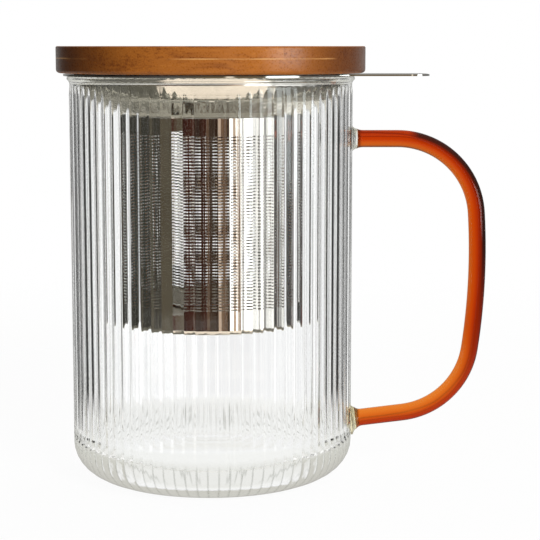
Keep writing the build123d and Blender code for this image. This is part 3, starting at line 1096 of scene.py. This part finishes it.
def belt(name, first_row, rows, bottom, top):
    """One belt of the sleeve: a column of holes, repeated round the tube, between plain edges."""
    deselect_all()
    low = HOLES_BOTTOM + first_row * row_pitch
    high = low + rows * row_pitch
    middle = low + row_pitch / 2
    bpy.ops.mesh.primitive_plane_add(
        size=1, location=(column_place, 0, middle), rotation=(0, pi / 2, 0)
    )
    piece = take_piece(name, (row_pitch, column_width, 1))
    set_mode("EDIT")
    bpy.ops.mesh.select_mode(type="FACE")
    select_all()
    bpy.ops.mesh.inset(thickness=column_width * HOLE_INSET, use_even_offset=True)
    wider = HOLE_WIDTH / (1 - 2 * HOLE_INSET)
    higher = HOLE_HEIGHT * row_pitch / (row_pitch - 2 * HOLE_INSET * column_width)
    resize((1, wider, higher), (column_place, 0, middle))
    bpy.ops.mesh.delete(type="FACE")
    hole = row_pitch * 0.4
    select_vertices(piece, lambda place: abs(place.y) < hole and abs(place.z - middle) < hole)
    bpy.ops.mesh.bevel(offset=column_width * HOLE_CORNER, segments=1, affect="VERTICES")
    set_mode("OBJECT")
    apply_modifier(
        piece,
        "ARRAY",
        count=rows,
        use_relative_offset=False,
        use_constant_offset=True,
        constant_offset_displace=(0, 0, row_pitch),
        use_merge_vertices=True,
        merge_threshold=0.00001,
    )
    set_mode("EDIT")
    for edge, goal in ((low, bottom), (high, top)):
        if abs(goal - edge) > 1e-6:
            select_vertices(piece, lambda place: abs(place.z - edge) < 1e-5)
            extrude((0, 0, goal - edge))
    select_all()
    repeat_round(HOLE_COLUMNS, column_angle)
    close_up(0.000004)
    set_mode("OBJECT")
    piece.rotation_euler = (0, 0, radians(SEAM_ANGLE) + column_angle / 2 + seam_turn / 2)
    apply_place()
    apply_modifier(piece, "SOLIDIFY", thickness=SLEEVE_SHEET, offset=-1)
    smooth_finish(piece, 32)
    return piece


belts = []
for number, name in enumerate(BELT_NAMES):
    first_row = number * HOLE_ROWS // len(BELT_NAMES)
    rows = (number + 1) * HOLE_ROWS // len(BELT_NAMES) - first_row
    bottom = HOLES_BOTTOM + first_row * row_pitch
    top = bottom + rows * row_pitch
    if name == BELT_NAMES[0]:
        bottom = SLEEVE_BOTTOM
    if name == BELT_NAMES[-1]:
        top = SLEEVE_TOP
    belts.append(belt(name, first_row, rows, bottom, top))

deselect_all()
bpy.ops.mesh.primitive_plane_add(
    size=1,
    location=(SLEEVE_RADIUS, 0, (SLEEVE_BOTTOM + SLEEVE_TOP) / 2),
    rotation=(pi / 2, 0, 0),
)
seam = take_piece("sleeve_lap_seam", (2 * SLEEVE_SHEET, SLEEVE_TOP - SLEEVE_BOTTOM, 1))
set_mode("EDIT")
select_all()
bpy.ops.mesh.extrude_region_move()
set_mode("OBJECT")
set_mode("EDIT")
bpy.ops.mesh.spin(steps=6, angle=seam_turn, center=(0, 0, 0), axis=(0, 0, 1))
close_up(1e-6)
set_mode("OBJECT")
seam.rotation_euler = (0, 0, radians(SEAM_ANGLE) + seam_turn / 2)
apply_place()
smooth_finish(seam, 32)
for piece in (*belts, seam):
    piece.data.materials.append(sleeve_steel)
    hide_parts("basket_sleeve")
    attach(piece, "infuser")

# Infuser base. A cap pressed from thicker sheet; its wall stands inside the sleeve, spot-welded,
# and the sleeve rests on the round shoulder that shows as a bright band under it.
BASE_HEIGHT = 0.04715
BASE_SHEET = 0.0004
BASE_ROUND = 0.00135
BASE_WALL_TOP = 0.0530
BASE_INNER_RING = 0.012
BASE_SIDES = 160
BASE_STEEL = (0.74, 0.72, 0.68, 1)

wall_outer = SLEEVE_RADIUS - SLEEVE_SHEET
wall_inner = wall_outer - BASE_SHEET
inner_round = BASE_ROUND - BASE_SHEET
shoulder = BASE_HEIGHT + BASE_ROUND
base_floor = BASE_HEIGHT + BASE_SHEET
outline = [(0, BASE_HEIGHT), (BASE_INNER_RING, BASE_HEIGHT)]
outline += arc((SLEEVE_RADIUS - BASE_ROUND, shoulder), BASE_ROUND, -90, 0, 8)
outline += [(wall_outer, shoulder), (wall_outer, BASE_WALL_TOP), (wall_inner, BASE_WALL_TOP)]
outline += arc((wall_inner - inner_round, shoulder), inner_round, 0, -90, 6)
outline += [(BASE_INNER_RING, base_floor), (0, base_floor)]
base = lathe("infuser_base", outline, BASE_SIDES)
smooth_finish(base, 32)
base.data.materials.append(steel_material("pressed_steel", BASE_STEEL, 0.14, 0.15))
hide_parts("basket_base")
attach(base, "infuser")

# Lid. Two plies of carbonised bamboo, glued together and turned to one disc, with a satin
# lacquer; the glue shows as a thin, broken pale line half-way up the rim.
LID_RADIUS = 0.0463
LID_BOTTOM = 0.1226
LID_JOINT = 0.1270
LID_TOP = 0.1305
LID_TOP_ROUND = 0.0005
LID_BOTTOM_ROUND = 0.0011
LID_INNER_RING = 0.020
LID_SIDES = 256
BAMBOO_LIGHT = (0.52, 0.185, 0.030)
BAMBOO_MIDDLE = (0.38, 0.120, 0.016)
BAMBOO_DARK = (0.20, 0.052, 0.008)
BAMBOO_TONES = (
    (0.33, BAMBOO_DARK), (0.49, BAMBOO_MIDDLE), (0.55, BAMBOO_MIDDLE), (0.69, BAMBOO_LIGHT)
)
FIBRE_SCALE = (55, 1500, 1300)
BROAD_SCALE = (22, 150, 190)
PORE_SCALE = 1500.0
GRAIN_SHARES = (0.50, 0.36, 0.10, 0.05)  # of fibres, broad bands, strips and flecks
GRAIN_DEPTH = 0.00010
CUT_END_AND_SHADE_COLOUR = (0.080, 0.020, 0.004, 1)
CUT_END_AND_SHADE_SHARE = 0.82
GLUE_COLOUR = (0.60, 0.30, 0.10, 1)
GLUE_LINE = (0.00010, 0.00026)

bamboo_grain, entry = new_group(
    "bamboo_grain",
    {"Place": "Vector", "Strip Width": "Float", "Shift": "Float"},
    {"Colour": "Color", "Roughness": "Float", "Lacquer": "Float", "Height": "Float"},
)
tree = bamboo_grain
strip = add_math(tree, "ADD", split_axes(tree, entry["Place"])["Y"], entry["Shift"])
strip = add_math(tree, "FLOOR", add_math(tree, "DIVIDE", strip, entry["Strip Width"]))
random_tone = {"noise_dimensions": "1D", "inputs": {"W": strip}}
strip_tone = add_node(tree, "ShaderNodeTexWhiteNoise", **random_tone).outputs["Value"]
drift = {"X": add_product(tree, strip_tone, 3.0), "Z": strip_tone}
drift = add_node(tree, "ShaderNodeCombineXYZ", inputs=drift)
moved = add_vector(tree, "ADD", entry["Place"], drift.outputs[0])
fibres = add_noise(tree, stretched(tree, moved, FIBRE_SCALE), 1.0, 4.0, 0.62)
broad = add_noise(tree, stretched(tree, moved, BROAD_SCALE), 1.0, 2.0)
pores = {"Vector": entry["Place"], "Scale": PORE_SCALE, "Randomness": 1.0}
pores = add_node(tree, "ShaderNodeTexVoronoi", feature="F1", inputs=pores).outputs["Distance"]
fleck = smooth_step(tree, pores, 0.15, 0.55)
tone = 0.0
for part, share in zip((fibres, broad, strip_tone, fleck), GRAIN_SHARES):
    tone = add_math(tree, "MULTIPLY_ADD", part, share, tone)
relief = add_product(tree, add_math(tree, "ADD", fibres, fleck), 0.5)
unlacquered = smooth_step(tree, pores, 0.10, 0.50)
bamboo_finish = {
    "Colour": add_ramp(tree, tone, BAMBOO_TONES),
    "Roughness": add_range(tree, fibres, 0.3, 0.7, 0.30, 0.50),
    "Lacquer": add_math(tree, "MULTIPLY_ADD", unlacquered, 0.65, 0.35),
    "Height": relief,
}
add_node(tree, "NodeGroupOutput", inputs=bamboo_finish)


def bamboo_material(name, strip_width, shift, glue_height):
    """Bamboo, darker on the cut ends, which also paints shade on the lid's sides; lacquered on the
    rim and oiled on the flat faces; a pale, broken line of glue shows at a height, if one is
    given."""
    material, tree, place = new_material(name)
    strips = {"Place": place, "Strip Width": strip_width, "Shift": shift}
    grain = add_group(tree, bamboo_grain, strips)
    facing = split_axes(tree, add_node(tree, "ShaderNodeNewGeometry").outputs["Normal"])
    # darker where the surface faces +X or -X: real end grain, and painted shade on the lid's sides
    cut_end_and_shade = smooth_step(tree, add_math(tree, "ABSOLUTE", facing["X"]), 0.35, 0.92)
    cut_end_and_shade = add_product(tree, cut_end_and_shade, CUT_END_AND_SHADE_SHARE)
    colour = add_mix(tree, cut_end_and_shade, grain["Colour"], CUT_END_AND_SHADE_COLOUR)
    if glue_height is not None:
        off = add_math(tree, "SUBTRACT", split_axes(tree, place)["Z"], glue_height)
        glued = smooth_step(tree, add_math(tree, "ABSOLUTE", off), *GLUE_LINE)
        patches = smooth_step(tree, add_noise(tree, place, 34.0, 3.0), 0.44, 0.62)
        line = add_product(tree, add_math(tree, "SUBTRACT", 1.0, glued), patches)
        colour = add_mix(tree, line, colour, GLUE_COLOUR)
    level = add_math(tree, "ABSOLUTE", facing["Z"])
    oiled = add_math(tree, "MULTIPLY_ADD", level, -0.75, 1.0)
    wood = {
        "Base Color": colour,
        "Roughness": grain["Roughness"],
        "Specular IOR Level": 0.05,
        "Coat Weight": add_product(tree, grain["Lacquer"], oiled),
        "Coat Roughness": 0.28,
        "Normal": add_bump(tree, grain["Height"], 0.35, GRAIN_DEPTH),
    }
    set_surface(tree, add_node(tree, "ShaderNodeBsdfPrincipled", inputs=wood))
    return material


outline = [(0, LID_JOINT), (LID_INNER_RING, LID_JOINT), (LID_RADIUS, LID_JOINT)]
top_centre = (LID_RADIUS - LID_TOP_ROUND, LID_TOP - LID_TOP_ROUND)
outline += arc(top_centre, LID_TOP_ROUND, 0, 90, 5)
outline += [(LID_INNER_RING, LID_TOP), (0, LID_TOP)]
top_ply = lathe("bamboo_top_ply", outline, LID_SIDES)
top_ply.data.materials.append(bamboo_material("bamboo_top", 0.0185, 0.0040, LID_JOINT))
outline = [(0, LID_BOTTOM), (LID_INNER_RING, LID_BOTTOM)]
bottom_centre = (LID_RADIUS - LID_BOTTOM_ROUND, LID_BOTTOM + LID_BOTTOM_ROUND)
outline += arc(bottom_centre, LID_BOTTOM_ROUND, -90, 0, 7)
outline += [(LID_RADIUS, LID_JOINT), (LID_INNER_RING, LID_JOINT), (0, LID_JOINT)]
bottom_ply = lathe("bamboo_bottom_ply", outline, LID_SIDES)
bottom_ply.data.materials.append(bamboo_material("bamboo_bottom", 0.0210, 0.0115, LID_JOINT))

# Plug and seal. A turned bamboo plug is glued under the lid; a ring of translucent silicone sits
# in its groove and spreads as a thin brim between the lid and the flange.
PLUG_RADIUS = 0.0366
PLUG_BOTTOM = 0.1176
PLUG_ROUND = 0.0008
PLUG_INNER_RING = 0.015
PLUG_SIDES = 160
GROOVE_RADIUS = 0.0356
GROOVE_BOTTOM = 0.1190
GROOVE_TOP = 0.1214
SEAL_BODY_RADIUS = 0.0375
SEAL_LIP = (
    # the lip that reaches towards the collar, from under it to over it
    (0.03750, 0.1196),
    (0.03875, 0.12005),
    (0.03885, 0.1202),
    (0.03875, 0.12035),
    (0.03760, 0.1208),
)
BRIM_RADIUS = 0.0410
BRIM_EDGE = 0.0001
SILICONE_COLOUR = (0.78, 0.78, 0.75, 1)
SILICONE_SHADE = (0.66, 0.66, 0.62, 1)

outline = [(0, PLUG_BOTTOM), (PLUG_INNER_RING, PLUG_BOTTOM)]
outline += arc((PLUG_RADIUS - PLUG_ROUND, PLUG_BOTTOM + PLUG_ROUND), PLUG_ROUND, -90, 0, 6)
outline += [(PLUG_RADIUS, GROOVE_BOTTOM), (GROOVE_RADIUS, GROOVE_BOTTOM)]
outline += [(GROOVE_RADIUS, GROOVE_TOP), (PLUG_RADIUS, GROOVE_TOP), (PLUG_RADIUS, LID_BOTTOM)]
outline += [(PLUG_INNER_RING, LID_BOTTOM), (0, LID_BOTTOM)]
plug = lathe("bamboo_plug", outline, PLUG_SIDES)
plug.data.materials.append(bamboo_material("bamboo_plug_wood", 0.0160, 0.0070, None))
for piece, node in ((top_ply, "lid_top_ply"), (bottom_ply, "lid_bottom_ply"), (plug, "lid_plug")):
    smooth_finish(piece, 32)
    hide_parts(node)
    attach(piece, "lid")

brim_bottom = MUG_HEIGHT + SHEET
outline = [(GROOVE_RADIUS, GROOVE_BOTTOM), (SEAL_BODY_RADIUS, GROOVE_BOTTOM), *SEAL_LIP]
outline += [(SEAL_BODY_RADIUS, brim_bottom), (BRIM_RADIUS - BRIM_EDGE, brim_bottom)]
outline += [(BRIM_RADIUS, brim_bottom + BRIM_EDGE), (BRIM_RADIUS, LID_BOTTOM - BRIM_EDGE / 2)]
outline += [(BRIM_RADIUS - BRIM_EDGE, LID_BOTTOM), (PLUG_RADIUS, LID_BOTTOM)]
outline += [(PLUG_RADIUS, GROOVE_TOP), (GROOVE_RADIUS, GROOVE_TOP), outline[0]]
seal = lathe("silicone_seal", outline, PLUG_SIDES)
smooth_finish(seal, 32)
silicone, tree, place = new_material("translucent_silicone")
clouds = add_noise(tree, place, 120.0, 3.0)
rubber = {
    "Base Color": add_mix(tree, clouds, SILICONE_COLOUR, SILICONE_SHADE),
    "Roughness": 0.42,
    "IOR": 1.41,
    "Normal": add_bump(tree, clouds, 0.2, 0.00005),
}
set_surface(tree, add_node(tree, "ShaderNodeBsdfPrincipled", inputs=rubber))
seal.data.materials.append(silicone)
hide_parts("lid_seal")
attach(seal, "lid")
